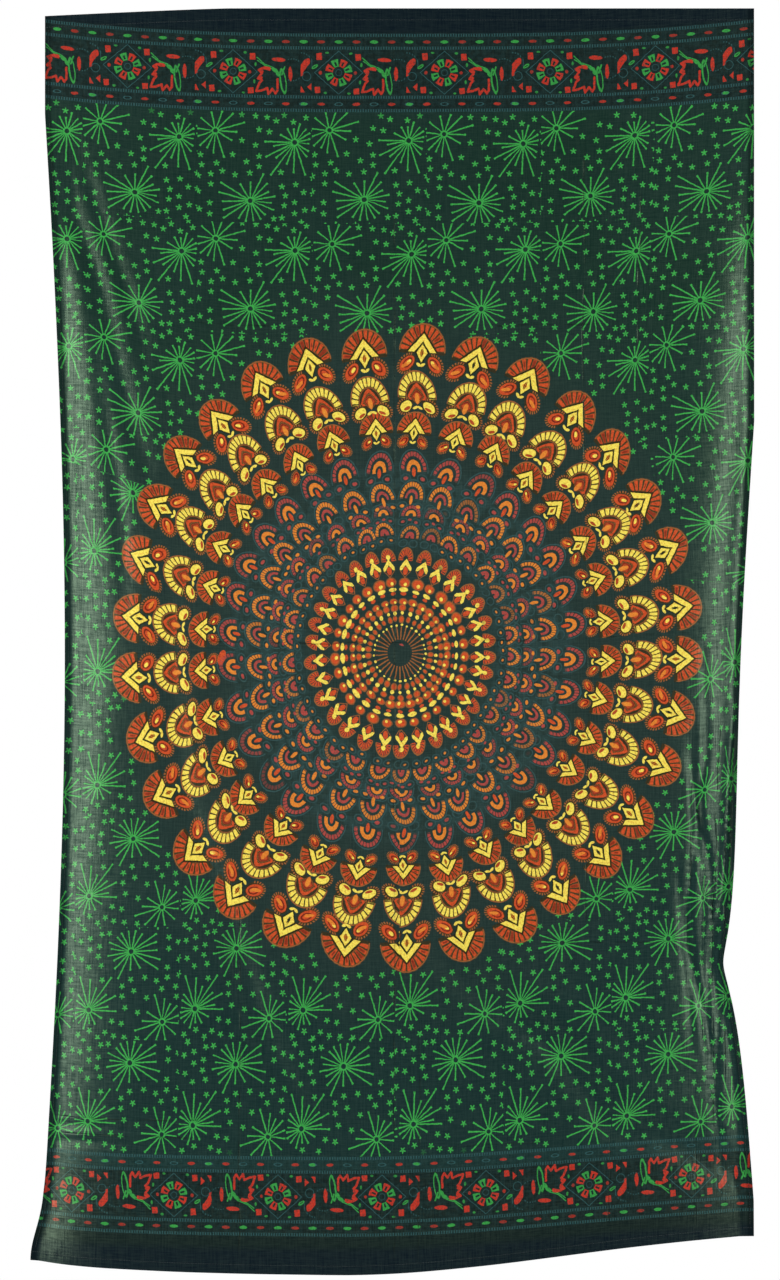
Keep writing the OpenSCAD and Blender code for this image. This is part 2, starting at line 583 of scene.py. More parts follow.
def draw_field(p):
    x, y = parts_of(p)
    low = below(y, x.times_plus(TURN_OVER[1], TURN_OVER[0]), 1.0)
    top_frame = placed(p, TOP_BLOCK)
    low_frame = placed(p, LOW_BLOCK, LOW_SCALE)
    here = choose(low, top_frame, low_frame)
    way = low.times_plus(-2, 1)
    # blocks are laid by hand, so each one sits a little off its place
    cell = vector_node("FLOOR", placed(here, BLOCK_CUT, REPEAT))
    shift = vector_node("SCALE", vector_node("SUBTRACT", chance_at(cell), MIDDLE), scale=BLOCK_SLIP)
    here = on_plane(here, shift)

    def rayed_stars():
        for kind in BURSTS:
            star, beside, over = burst(here, *kind)
            middle = point(p.tree, x - beside * way, y - over * way)
            yield both(star, in_field(y - over * way, 13), off_mandala(middle))

    stars = both(joined("MAXIMUM", rayed_stars()), in_field(y, 3))
    best, gap = None, None
    for right, down in SMALL_STARS:
        local = in_repeat(here, (right / 100 * REPEAT[0], -down / 100 * REPEAT[1]))
        far = length_of(local)
        if gap is None:
            best, gap = local, far
        else:
            best = choose(math_node("LESS_THAN", far, gap), best, local)
            gap = math_node("MINIMUM", gap, far)
    sx, sy = parts_of(best)
    arms = math_node("COSINE", angle_of(sx, sy) * STAR_ARMS)
    small = below(gap, arms.times_plus(1.6, 3.5), 0.9)
    middle = point(p.tree, x - sx * way, y - sy * way)
    return {"green": either(stars, both(small, in_field(y - sy * way, 8), off_mandala(middle)))}


# ---- The print: mandala
SPOKES = 32
MANDALA = (0.0, -1002.0)             # its middle on the cloth
TALL = 1.10                          # it is printed a little taller than wide
RIM = 462.0                          # half its width
NARROW = 0.89                        # motifs are a little narrower than they are tall


def arc_polar(s, rise, stretch=1.0):
    """Distance, and angle from 0 at the right to 1 at the left, round the foot of an arch."""
    up = rise * (1 / stretch)
    return length_of(point(s.tree, s, up)), angle_of(up, s) * (1 / math.pi)


def blocks(far, turn, radius, half, count, fill):
    """Below 1 inside each of a row of rounded blocks along an arch."""
    beside = abs_of(fract(turn * count) - 0.5) * (1 / fill)
    return math_node("SMOOTH_MAX", beside, abs_of(far - radius) * (1 / half), 0.5)


def ticks(p, centre, size, thick, turn, count):
    """An outline of small strokes round an ellipse, thick wide."""
    here = placed(p, centre, size, turn)
    x, y = parts_of(here)
    stroke_here = math_node("COSINE", angle_of(y, x) * count)
    return both(band(length_of(here), 1, thick / min(size), 0.06), above(stroke_here, -0.1, 0.8))


def pointed(a, rise, tall, wide):
    """Like a distance out from a pointed arch, which is 1 on its line."""
    return math_node("POWER", a * (1 / wide), 1.6) + rise * (1 / tall)


class Spokes:
    """Every motif is drawn once, and stands on each spoke of the mandala, at its own place."""

    def __init__(self, p):
        x, y = parts_of(p)
        self.tree = p.tree
        self.far = length_of(p)
        # the spokes were set out with slow drifts round the circle, in degrees
        along_y, along_x = y / self.far, x / self.far
        slip = along_y * 2.6 - along_x * 1.3 + along_x * along_y * 3.2 + along_x * along_x * 3.2 - 4.0
        angle = angle_of(x, y) - slip * (math.pi / 180)
        turns = angle * (SPOKES / (2 * math.pi)) + 0.5
        self.spoke = math_node("ROUND", turns)
        off = (turns - self.spoke) * (2 * math.pi / SPOKES)
        self.side = self.far * math_node("SINE", off)
        self.out = self.far * math_node("COSINE", off)

    def luck(self, seed):
        return chance(self.spoke + seed)

    def stand(self, foot, seed, slack, tilt=0.26):
        """Side and rise from a motif's foot. Each is laid a little off its place and turned."""
        rise = self.out + self.luck(seed).times_plus(slack, -foot - slack / 2)
        side = self.side + (self.luck(seed + 40.5) - 0.5) * slack
        side = side + (self.luck(seed + 71.5) - 0.5) * rise * tilt
        return side * (1 / NARROW), rise


def fan(inks, spokes, foot, seed, radius, stretch, count, bold, cheek, knot):
    """A fan of bars over a pointed arch and an eyed diamond, with a cheek on each side."""
    s, rise = spokes.stand(foot, seed, 7.0)
    a = abs_of(s)
    far, turn = arc_polar(s, rise, stretch)
    p = point(s.tree, a, rise)
    over = above(rise, -0.5)
    inks.add("blank", both(below(far, radius), above(rise, -4)), ellipse(p, cheek[0], cheek[1], cheek[2]))
    size = radius / 40
    house = (rise + a * 1.12) * (1 / (1.50 * size))
    bars = blocks(far, turn, 0.745 * radius, 0.20 * radius, count, 0.31)
    bar = chance(math_node("FLOOR", turn * count) + spokes.spoke * 17.5)
    clear = both(over, above(house, 18.5))
    inks.add("brown", both(band(far, radius * 0.975, 0.8), over),
             both(band(far, 0.52 * radius, 0.8), clear) * 0.6,
             both(band(bars, 1.2, 0.12, 0.2), clear) * 0.55)
    inks.add("red", both(below(bars, 1, 0.15), clear))
    inks.add("wine", both(below(bars, bar.times_plus(1.3, -0.35), 0.25), clear) * 0.8)
    gable = both(band(house, 13.2, bold / size), above(rise, -1.5))
    inks.add("gap", both(band(house, 13.4, 1.7 * bold / size), over, 1 - gable) * 0.9)
    inks.add("yellow", gable)
    lozenge = a * (1 / (10.4 * size)) + abs_of(rise + 2.6 * size) * (1 / (15.5 * size))
    inks.add("gap", band(lozenge, 1.02, 0.12, 0.1))
    inks.add("yellow", band(lozenge, 0.62, 0.34, 0.1))
    inks.add("orange", both(below(lozenge, 0.38, 0.1), above(spokes.luck(seed + 5), 0.35, 0.1)))
    inks.add("gap", both(band(a, 1.2 * size, 0.7 * size), below(lozenge, 0.46, 0.1)))
    place, half, lean = cheek
    inner = (half[0] * 0.84, half[1] * 0.74)
    luck = spokes.luck(seed + 7)
    inks.add("brown", both(ticks(p, place, half, 1.5, lean, 22), above(a, place[0] - 7)))
    inks.add("red", ellipse(p, place, inner, lean))
    inks.add("wine", ring(p, (place[0] - 1, place[1] + 1), (inner[0] * 0.55, inner[1] * 0.55), 0.9, lean))
    inks.add("orange", both(ellipse(p, (place[0] + 2, place[1] - 2), (inner[0] * 0.55, inner[1] * 0.3),
                                    lean + 14), above(luck, 0.4, 0.1)))
    inks.add("yellow", both(ellipse(p, (place[0] - 3, place[1] + 2), (inner[0] * 0.32, inner[1] * 0.28),
                                    lean), below(luck, 0.6, 0.1)))
    inks.add("yellow", ellipse(p, (3.3 * size, knot), (4.4 * size, 2.1 * size), 26))


def petal_arch(inks, spokes, foot, seed):
    """A round arch of yellow petals over red pointed arches and a drop, with yellow cheeks."""
    s, rise = spokes.stand(foot, seed, 7.0)
    a = abs_of(s)
    far, turn = arc_polar(s, rise, 1.16)
    p = point(s.tree, a, rise)
    over = above(rise, -1.5)
    cheek, half, lean = (20.3, -13.6), (13.6, 10.2), -30
    inks.add("blank", both(below(far, 31.9), above(rise, -8)), ellipse(p, cheek, half, lean))
    inks.add("brown", both(band(far, 31.9, 0.8), over), both(band(far, 18.6, 0.8), over) * 0.7)
    inks.add("yellow", both(below(blocks(far, turn, 25.4, 5.3, 12, 0.37), 1, 0.2), over))
    # the pointed arches close to a point below
    arch = math_node("MAXIMUM", pointed(a, rise, 19.0, 15.6), a * (1 / 15.6) - rise * (1 / 14.5))
    inks.add("red", both(band(arch, 0.90, 0.15, 0.05), above(rise, -3.5)))
    speckle = above(math_node("SINE", turn * 95), -0.2, 0.6)
    inks.add("brown", both(band(arch, 0.66, 0.06, 0.06), speckle))
    inks.add("red", below(arch, 0.54, 0.05) * 0.8)
    inks.add("wine", band(arch, 0.44, 0.05, 0.06))
    inks.add("orange", ellipse(p, (0, -1.5), (3.8, 7.6)))
    inks.add("yellow", both(ellipse(p, (0, -1.5), (2.6, 5.6)), above(spokes.luck(seed + 4), 0.3, 0.1)))
    inks.add("brown", both(ticks(p, cheek, half, 1.5, lean, 20), above(a, 14)))
    slit = ellipse(p, (17.4, -16.6), (6.0, 2.2), lean + 6)
    inks.add("yellow", without(ellipse(p, (19.2, -13.6), (10.4, 6.9), lean), slit))
    inks.add("red", slit * 0.7)
    inks.add("yellow", ellipse(p, (3.8, -14.4), (4.6, 1.9), -22))


def dotted_arch(inks, spokes, foot, seed, radius, stretch, count, half, ink, inner, drop, eyes):
    """An arch of dots over a plain arch and a drop, with a dot at each side, outlined in slate."""
    s, rise = spokes.stand(foot, seed, 6.0, 0.4)
    far, turn = arc_polar(s, rise, stretch)
    p = point(s.tree, abs_of(s), rise)
    over = above(rise, -1)
    inks.add("slate", both(band(far, radius + half + 2.4, 0.8), above(rise, -4)) * 0.8)
    dots = below(blocks(far, turn, radius, half, count, 0.39), 1, 0.3)
    inks.add(ink, both(dots, over, spokes.luck(seed + 3).times_plus(2.5, 0.25, clamp=True)))
    inner_radius, inner_half, inner_ink, legs = inner
    inks.add(inner_ink, both(band(far, inner_radius, inner_half), above(rise, -legs)))
    if drop:
        inks.add(drop[2], ellipse(p, (0, drop[0]), drop[1]))
    inks.add(eyes[2], both(ellipse(p, eyes[0], eyes[1], -12), above(spokes.luck(seed + 8), 0.15, 0.1)))
    inks.add("slate", ring(p, eyes[0], (eyes[1][0] + 4.2, eyes[1][1] + 3.4), 0.7, -12) * 0.7)


def bead(inks, spokes, foot, seed, size, ink, outlined=True, aside=0.0):
    s, rise = spokes.stand(foot, seed, 1.8, 0.0)
    here = length_of(placed(point(s.tree, s, rise), (aside, 0), size))
    here = here * spokes.luck(seed + 5).times_plus(0.4, 0.85)
    if outlined:
        inks.add("brown", below(here, 1 + 1.5 / min(size), 0.3))
    inks.add(ink, below(here, 1, 0.2))


def outer_fans(inks, spokes):
    fan(inks, spokes, 423, 1.0, 38.8, 1.02, 12, 4.0, ((23.0, -18.6), (16.5, 11.6), -42), -19.5)


def draw_rim(p):
    """The outermost fans alone, for the ring of cloth where they lie over the field of stars."""
    inks = Inks()
    outer_fans(inks, Spokes(p))
    return inks


# Rows of beads round the middle: distance out, seed, size, ink, whether outlined, and how far aside
BEADS = [
    (99.5, 81.0, (7.4, 5.6), "red"), (97.5, 81.0, (2.8, 2.4), "yellow", False, 1.5),
    (88.5, 91.0, (7.2, 3.2), "yellow", False), (83.0, 91.0, (4.6, 2.6), "red", False),
    (73.0, 101.0, (5.8, 3.8), "red"), (71.5, 101.0, (2.4, 2.2), "yellow", False, 2.4),
    (63.5, 111.0, (3.9, 3.2), "red"), (56.0, 121.0, (3.0, 2.8), "yellow", False),
    (48.0, 131.0, (2.7, 3.2), "red"), (39.5, 141.0, (2.0, 1.7), "yellow", False),
]


def draw_mandala(p):
    inks = Inks()
    spokes = Spokes(p)
    outer_fans(inks, spokes)
    petal_arch(inks, spokes, 358, 7.0)
    fan(inks, spokes, 309, 13.0, 28.6, 1.00, 12, 3.1, ((15.0, -14.2), (9.8, 7.2), -36), -15.0)
    dotted_arch(inks, spokes, 258, 21.0, 18.6, 1.20, 12, 2.6, "crimson", (9.0, 2.7, "orange", 2.5),
                (-3.0, (2.9, 6.6), "red"), ((14.0, -12.5), (4.0, 2.6), "crimson"))
    dotted_arch(inks, spokes, 219, 31.0, 16.6, 1.20, 13, 2.6, "orange", (8.6, 1.8, "crimson", 0.5),
                (-3.0, (2.7, 6.4), "orange"), ((13.4, -11.8), (3.8, 2.2), "orange"))
    dotted_arch(inks, spokes, 192.5, 41.0, 13.6, 0.90, 11, 2.4, "crimson", (6.4, 2.3, "orange", 0.5),
                (-6.0, (3.0, 1.8), "crimson"), ((11.0, -9.2), (3.0, 1.7), "crimson"))
    dotted_arch(inks, spokes, 165, 53.0, 13.2, 1.10, 11, 2.2, "orange", (4.6, 2.8, "crimson", 1.0),
                None, ((8.4, -8.6), (2.4, 1.5), "orange"))

    s, rise = spokes.stand(131, 61.0, 2.5)
    far, turn = arc_polar(s, rise, 1.38)
    over = above(rise, -2.0)
    inks.add("brown", both(band(far, 11.6, 0.8), over))
    inks.add("red", both(below(blocks(far, turn, 7.4, 3.3, 9, 0.36), 1, 0.3), over))
    p_in = point(s.tree, abs_of(s), rise)
    inks.add("yellow", both(ellipse(p_in, (0, 4.0), (3.4, 3.6)), above(spokes.luck(66.0), 0.25, 0.1)))
    s, rise = spokes.stand(118.5, 71.0, 2.5)
    a = abs_of(s)
    p_in = point(s.tree, a, rise)
    vee = (rise + a * 1.25) * 0.62
    inks.add("yellow", both(band(vee, 6.6, 2.6), above(rise, -1.5), below(a, 9.4)))
    inks.add("red", ellipse(p_in, (0, -2.0), (4.0, 5.8)))
    inks.add("brown", both(band(a * 1.1 - rise, 11.5, 0.8), below(rise, 0), below(a, 9)))

    for row in BEADS:
        bead(inks, spokes, *row)
    inks.add("brown", both(below(abs_of(spokes.side), 0.85), band(spokes.far, 28, 9)))
    inks.add("crimson", ellipse(p, (3.0, 11.5), (3.6, 1.4), -20))
    inks.add("red", ellipse(p, (-281.0, -8.0), (6.0, 11.0), -24))
    mottle = noise(p, 0.06, 3)
    inks.add("slate", both(band(spokes.far, 205, 60, 20), above(mottle, 0.50, 0.16)) * 0.25)
    return inks


# ---- The print: end border
BORDER_REPEAT = 164.2
BORDER_TOP = (69.8, -100.2)          # middle of one rosette in the top border
BORDER_LOW = (-27.2, -1842.0)        # and in the bottom one, which is turned half round
BORDER_SCALE = (-0.979, -1)          # and printed a little closer
PETALS = 8
BEADS_ACROSS = 6                     # in each repeat
LINES = (58.2, 38.2, -38.2, -58.9)   # heights of the four dashed lines from the rosettes' middle
LEAF = [(57, 4), (46, 6), (40, 3), (45, -2), (39, -10), (45, -13), (41, -17), (39, -22), (36, -30),
        (44, -29), (53, -25), (55, -34), (61, -26), (66, -33), (69, -28), (69, -11)]


def draw_border(p):
    inks = Inks()
    x, y = parts_of(p)
    low = below(y, -DROP / 2, 1.0)
    here = choose(low, placed(p, BORDER_TOP), placed(p, BORDER_LOW, BORDER_SCALE))
    x, y = parts_of(here)
    x = math_node("WRAP", x, 105.0, 105.0 - BORDER_REPEAT)
    here = point(p.tree, x, y)

    rungs = below(abs_of(fract(x * (1 / 4.0)) - 0.5), 0.24, 0.14)
    for height in LINES:
        beside = abs_of(y - height)
        inks.add("teal", band(beside, 2.3, 0.3, 0.6) * 0.4, both(below(beside, 2.2), rungs) * 0.9)

    # rows of little ellipses above and below
    beads = fract(x.times_plus(BEADS_ACROSS / BORDER_REPEAT, 0.5)) - 0.5
    count = math_node("ROUND", x * (BEADS_ACROSS / BORDER_REPEAT))
    even = below(abs_of(math_node("WRAP", count, 1.5, -0.5)), 0.5, 0.1)
    bead_scale = BORDER_REPEAT / BEADS_ACROSS / 6.3
    upper = length_of(point(p.tree, beads * bead_scale, (y - 47.8) * (1 / 2.5)))
    inks.add("green", both(below(upper, 1, 0.2), even))
    inks.add("scarlet", both(below(upper, 0.95, 0.2), 1 - even) * 0.6)
    lower = length_of(point(p.tree, beads * bead_scale, (y + 49.0) * (1 / 2.5)))
    inks.add("scarlet", both(below(lower, 0.9, 0.2), 1 - even) * 0.8)
    green_one = both(even, band(count, -2, 0.5, 0.1))
    inks.add("green", both(below(lower, 0.9, 0.2), green_one))
    inks.add("teal", both(band(lower, 0.9, 0.18, 0.2), even))

    # diamond and rosette
    lozenge = abs_of(x) * (1 / 37.6) + abs_of(y) * (1 / 33.6)
    inks.add("teal", band(lozenge, 1, 0.02, 0.02))
    far = length_of(here)
    turns = angle_of(x, y).times_plus(PETALS / (2 * math.pi), 20 / 45)
    petal = math_node("ROUND", turns)
    off = (turns - petal) * (2 * math.pi / PETALS) * far
    body = both(below(abs_of(off) - far * 0.22, 1.3), band(far, 15.3, 5.9))
    heart = both(below(abs_of(off), 1.5), band(far, 14.2, 3.3))
    green_petal = below(abs_of(math_node("WRAP", petal, 1.5, -0.5)), 0.5, 0.1)
    inks.add("green", both(without(body, heart), green_petal))
    inks.add("scarlet", both(without(body, heart), 1 - green_petal))
    inks.add("teal", band(far, 4.8, 0.6, 0.8) * 0.7)

    # what stands in the corners of the diamond
    for centre, size in (((-30.4, 25), (4.2, 5.2)), ((30.2, 24), (4.3, 5.0)), ((-33, -27), (4.1, 4.8)),
                         ((27.4, -29), (4.3, 4.5))):
        inks.add("scarlet", oblong(here, centre, size, 4))
    for centre, size in (((-28.7, 0), (2.6, 2.8)), ((25.8, -0.5), (2.4, 2.6))):
        inks.add("scarlet", ellipse(here, centre, size) * 0.7)
    for centre, size in (((-18.3, 31), (2.8, 1.5)), ((18.7, 30), (2.6, 1.9)), ((-21, -31.5), (2.6, 1.9)),
                         ((15.9, -32.6), (2.5, 1.6)), ((35, 12), (1.8, 3.2)), ((33, -15), (1.7, 3.2))):
        inks.add("green", ellipse(here, centre, size) * 0.75)

    # toothed leaf with its sprig and blade
    inks.add("scarlet", stroke(here, LEAF, 1.7), ellipse(here, (44, 1), (3.4, 3.2)),
             ellipse(here, (52, 6), (6.5, 2.6)), ellipse(here, (42, -9), (4.0, 2.6)))
    inks.add("green", stroke(here, [(37, 23), (49, 12), (63, 7)], 0.8),
             stroke(here, [(38, 18), (50, 9.5), (61, 5)], 0.8),
             ellipse(here, (65, 3), (5.6, 3.0), -35), ellipse(here, (70, -3), (4.8, 3.0), -55))
    blade = without(ellipse(here, (77.5, -14), (5.2, 20.5), 8), ellipse(here, (78.0, -14), (3.1, 16), 8))
    inks.add("green", blade, stroke(here, [(80, 8), (76, -4)], 1.2))

    # berries, curls and the hooked leaf
    inks.add("scarlet", ellipse(here, (88.9, -2.2), (3.0, 10.8), 2),
             ellipse(here, (71, 19.6), (10.4, 3.2), -4))
    hook = without(ellipse(here, (-54, 8), (15.6, 6.2), 62), ellipse(here, (-49.5, 5.5), (11, 2.2), 55))
    inks.add("scarlet", hook, both(below(abs_of(y + 22.4) - (x + 48) * 0.9, 1.0), below(x, -42.5)))
    inks.add("scarlet", both(below(abs_of(x + 58.3) * (1 / 5.6) + (y + 31) * (1 / 9.5), 1, 0.1),
                             above(y, -31)))
    inks.add("green", without(ellipse(here, (-37.1, 9.3), (5.6, 2.6), 32),
                              ellipse(here, (-37.1, 9.3), (3.4, 0.7), 32)))
    curl = either(band(length_of(placed(here, (-50, -6))), 6.6, 0.6),
                  both(band(length_of(placed(here, (-60, 12))), 19, 1.1), above(y, 9), rungs),
                  both(band(length_of(placed(here, (92, 4))), 17, 0.9), above(x, 84), rungs))
    mottle = both(above(noise(p, 0.14, 3), 0.50, 0.2), below(abs_of(y), 58, 8))
    inks.add("teal", curl * 0.8, mottle * 0.12)
    inks["green"] = inks["green"] * 0.78
    return inks


# ---- Materials
INK = {
    "blank": (0.036, 0.027, 0.012),
    "brown": (0.33, 0.11, 0.03),
    "slate": (0.038, 0.092, 0.094),
    "teal": (0.028, 0.092, 0.096),
    "wine": (0.15, 0.014, 0.008),
    "crimson": (0.43, 0.06, 0.05),
    "scarlet": (0.52, 0.032, 0.017),
    "red": (0.64, 0.082, 0.02),
    "orange": (0.77, 0.24, 0.03),
    "yellow": (0.96, 0.79, 0.11),
    "green": (0.048, 0.4, 0.07),
    "gap": (0.014, 0.014, 0.005),
}
# what each ink turns to where it lies thin or has mixed with the one below it
THIN = {
    "red": (0.42, 0.05, 0.018),
    "orange": (0.64, 0.17, 0.025),
    "yellow": (0.8, 0.47, 0.06),
    "crimson": (0.24, 0.06, 0.05),
    "scarlet": (0.23, 0.036, 0.03),
    "green": (0.032, 0.272, 0.05),
}
INK_ORDER = ["blank", "slate", "teal", "brown", "green", "red", "scarlet", "wine", "crimson", "yellow",
             "orange", "gap"]
GROUND = (0.007, 0.027, 0.0195)
GROUND_PATCH = (0.01, 0.0295, 0.0255)
LOW_GROUND = (0.0082, 0.0275, 0.028)
# painted light: the ground round the mandala is lighter, as the middle of the cloth is lit brighter
MANDALA_LIT_GROUND = (0.0165, 0.0335, 0.0305)
BORDER_GROUND = (0.006, 0.014, 0.014)
MARGIN = (0.0028, 0.0082, 0.015)


def new_material(name):
    material = bpy.data.materials.new(name)
    material.use_nodes = True
    tree = material.node_tree
    shader = tree.nodes["Principled BSDF"]
    return material, tree, shader


def cloth_point(tree):
    """Where on the flat cloth the shaded point is, in millimetres."""
    return vector_node("SCALE", new_num(tree, "UVMap", uv_map="print"), scale=PER_METRE)


# Lines where the cloth was folded flat or has wrinkled: across or down it, where, and from where to
# where along that line. Each dents the bump and darkens the colour there with painted shade. The
# mandala's pattern leaves little room in its shader, so its materials take the first list only. With
# four lines more than those, Cycles drew the mandala black.
MANDALA_CREASES = [
    ("down", -248, 1320, 1935), ("down", -8, 300, 1930), ("down", 288, 220, 1465),
    ("across", -986, -420, 430),
]
CREASES = MANDALA_CREASES + [
    ("down", 462, 1760, 1915), ("down", 30, 1600, 1935), ("down", 326, 1780, 1920),
    ("across", -497, -310, 310), ("across", -1471, -325, -170), ("across", -1471, 60, 436),
    ("across", -1729, -535, -310), ("across", -1754, -535, -310), ("across", -1770, 30, 220),
    ("across", -540, 385, 470), ("down", 380, 300, 560), ("down", 448, 1150, 1560),
    ("down", 492, 1120, 1800), ("down", 512, 1250, 1700), ("down", 474, 1350, 1650),
]


# 1 along the crease lines: they dent the bump, and carry painted shade in the colour
def creases(p, lines):
    x, y = parts_of(p)
    wander = noise(p, 0.012, 2)

    def each():
        for way, place, start, end in lines:
            beside, along_it = (x, y * -1) if way == "down" else (y, x)
            middle, half = (start + end) / 2, (end - start) / 2
            yield both(band(beside + wander * 7, place + 3.5, 0.9, 1.8),
                       band(along_it, middle, half, 30))

    return both(joined("MAXIMUM", each()), noise(p, 0.03, 2).times_plus(3.5, -1.2, clamp=True))


WEFT, WARP = 0.9, 0.8                # pitch of the threads


def finish_cotton(tree, shader, p, colour, worn, crease_dent_and_shade=None, hem_shade=None):
    """Weave, creases, sheen and the uneven tone of printed cotton, with painted shade along the creases
    and over the side hems.
    """
    x, y = parts_of(p)
    weave = math_node("SINE", x * (2 * math.pi / WEFT)) * math_node("SINE", y * (2 * math.pi / WARP))
    slubs = noise(placed(p, (0, 0), (13.0, 1.2)), 0.5, 3, 0.6)
    slubs_up = noise(placed(p, (0, 0), (1.2, 20.0)), 0.5, 3, 0.6)
    crumple = noise(p, 0.016, 4, 0.55)
    height = weave * 0.02 + slubs * 0.16 + slubs_up * 0.26 + crumple * 1.6
    tone = (slubs + slubs_up).times_plus(0.20, 0.79)
    gleam = (slubs + slubs_up).times_plus(1.7, -1.2, clamp=True)
    # painted shade: the colour darkens along the creases, beside their dent in the bump
    if crease_dent_and_shade:
        height = height - crease_dent_and_shade * 0.8
        tone = tone * crease_dent_and_shade.times_plus(-0.6, 1.0)
    # painted shade: the colour darkens over the side hems, which also lose most of their gloss
    if hem_shade:
        tone = tone * hem_shade.times_plus(-0.35, 1.0)
        gleam = gleam * hem_shade.times_plus(-0.8, 1.0)
    feed(tree, shader, {
        "Normal": new_num(tree, "Bump", {"Strength": 0.6, "Distance": MM, "Height": height}),
        "Base Color": vector_node("SCALE", colour, scale=tone),
        "Roughness": worn.times_plus(0.08, 0.32),
        "Specular IOR Level": gleam.times_plus(0.50, 0.15),
        "Specular Tint": (0.70, 1.0, 0.66, 1.0),
        "Sheen Weight": 0.05,
        "Sheen Roughness": 0.4,
        "Sheen Tint": (0.7, 1.0, 0.75, 1.0),
    })


def on_hem(tree):
    """1 on the part of the cloth that has a hem behind it, where the printed materials paint shade."""
    return new_num(tree, "Attribute", output="Fac", attribute_name="hem")


def ground_colour(p):
    """The dark cloth itself, by parts of the design, lightened round the mandala with painted light."""
    y = parts_of(p)[1]
    from_end = math_node("MINIMUM", y * -1, y + DROP)
    patch = noise(p, 0.006, 3, 0.5)
    field = mixed(patch.times_plus(2.0, -0.6, clamp=True), GROUND, GROUND_PATCH)
    field = mixed(below(y, -DROP / 2, 900) * 0.8, field, LOW_GROUND)
    # painted light round the mandala
    colour = mixed(below(length_of(mandala_frame(p)), 470, 190), field, MANDALA_LIT_GROUND)
    colour = mixed(below(from_end, 160, 6), colour, BORDER_GROUND)
    return mixed(below(from_end, 40, 12), colour, MARGIN)


def printed_material(name, groups, lines):
    """Printed cotton. groups are (group, frame of the pattern, mask that keeps it) in order, and
    lines its creases."""
    material, tree, shader = new_material(name)
    p = cloth_point(tree)
    wobble = vector_node("SUBTRACT", noise(p, 0.13, 3, 0.6, "Color"), MIDDLE)
    p_ink = on_plane(p, vector_node("SCALE", wobble, scale=1.9))
    worn = noise(p, 0.35, 3, 0.65)
    cover = worn.times_plus(1.6, 0.22, clamp=True)
    thin = noise(p, 0.28, 3, 0.7).times_plus(5.0, -2.4, clamp=True)
    colour = ground_colour(p)
    for group, frame_of, keep in groups:
        masks = use_group(group, frame_of(p_ink))
        kept = both(cover, keep(p_ink)) if keep else cover
        for ink in INK_ORDER:
            if ink in masks:
                paint = mixed(thin, INK[ink], THIN[ink]) if ink in THIN else INK[ink]
                strength = masks[ink] if ink == "blank" else masks[ink] * kept
                colour = mixed(strength, colour, paint)
    finish_cotton(tree, shader, p, colour, worn, creases(p, lines), on_hem(tree))
    return material


def mandala_frame(p):
    return placed(p, MANDALA, (1, TALL))


def outside_mandala(p):
    return above(length_of(mandala_frame(p)), RIM - 22, 2)


def make_prints():
    field = pattern_group("star_field", ["green"], draw_field)
    mandala_inks = ["blank", "brown", "slate", "wine", "crimson", "red", "orange", "yellow", "gap"]
    rim_inks = ["blank", "brown", "wine", "red", "orange", "yellow", "gap"]
    mandala = pattern_group("mandala", mandala_inks, draw_mandala)
    rim = pattern_group("mandala_rim", rim_inks, draw_rim)
    border = pattern_group("end_border", ["teal", "green", "scarlet"], draw_border)
    same = lambda p: p
    return [
        printed_material("print_field", [(field, same, outside_mandala)], CREASES),
        printed_material("print_mandala", [(mandala, mandala_frame, None)], MANDALA_CREASES),
        printed_material("print_rim", [(field, same, outside_mandala), (rim, mandala_frame, None)],
                         MANDALA_CREASES),
        printed_material("print_border", [(field, same, None), (border, same, None)], CREASES),
    ]


def hung_point(tree):
    """Where the shaded point hangs, across and up, in millimetres, for pieces with no print."""
    place = vector_node("SCALE", new_num(tree, "TexCoord", output="Object"), scale=PER_METRE)
    split = new_node(tree, "SeparateXYZ", {0: place})
    return point(tree, Num(tree, split.outputs[0]), Num(tree, split.outputs[2]))


def plain_cotton(name, base):
    material, tree, shader = new_material(name)
    p = hung_point(tree)
    worn = noise(p, 0.35, 3, 0.65)
    colour = mixed(worn, base, tuple(1.5 * c for c in base))
    finish_cotton(tree, shader, p, colour, worn)
    return material


def thread_material(name, base):
    material, tree, shader = new_material(name)
    place = new_num(tree, "TexCoord", output="Object")
    fleck = new_num(tree, "TexWave", {"Scale": 900.0, "Vector": place}, "Fac", wave_type="BANDS",
                    bands_direction="DIAGONAL")
    feed(tree, shader, {
        "Base Color": mixed(fleck, base, tuple(2.0 * c for c in base)),
        "Normal": new_num(tree, "Bump", {"Strength": 0.4, "Distance": 0.0002, "Height": fleck}),
        "Roughness": fleck.times_plus(0.2, 0.5),
        "Specular IOR Level": 0.3,
        "Sheen Weight": 0.2,
    })
    return material


# ---- The printed cloth
# Where the print lies off its even place: a point of the cloth, how far the print there comes from
# to the right and from below, and how far around that it reaches across and down
SHIFTS = [
    ((-430, 1080), (-20, 0), (150, 330)),
    ((470, 1000), (-10, 0), (200, 320)),
    ((0, 1500), (0, 13), (420, 190)),
    ((470, 560), (18, 0), (160, 260)),
    ((-470, 560), (-6, 18), (110, 180)),
]
BOW = 20.0                           # how much nearer the ends the border lies at the corners


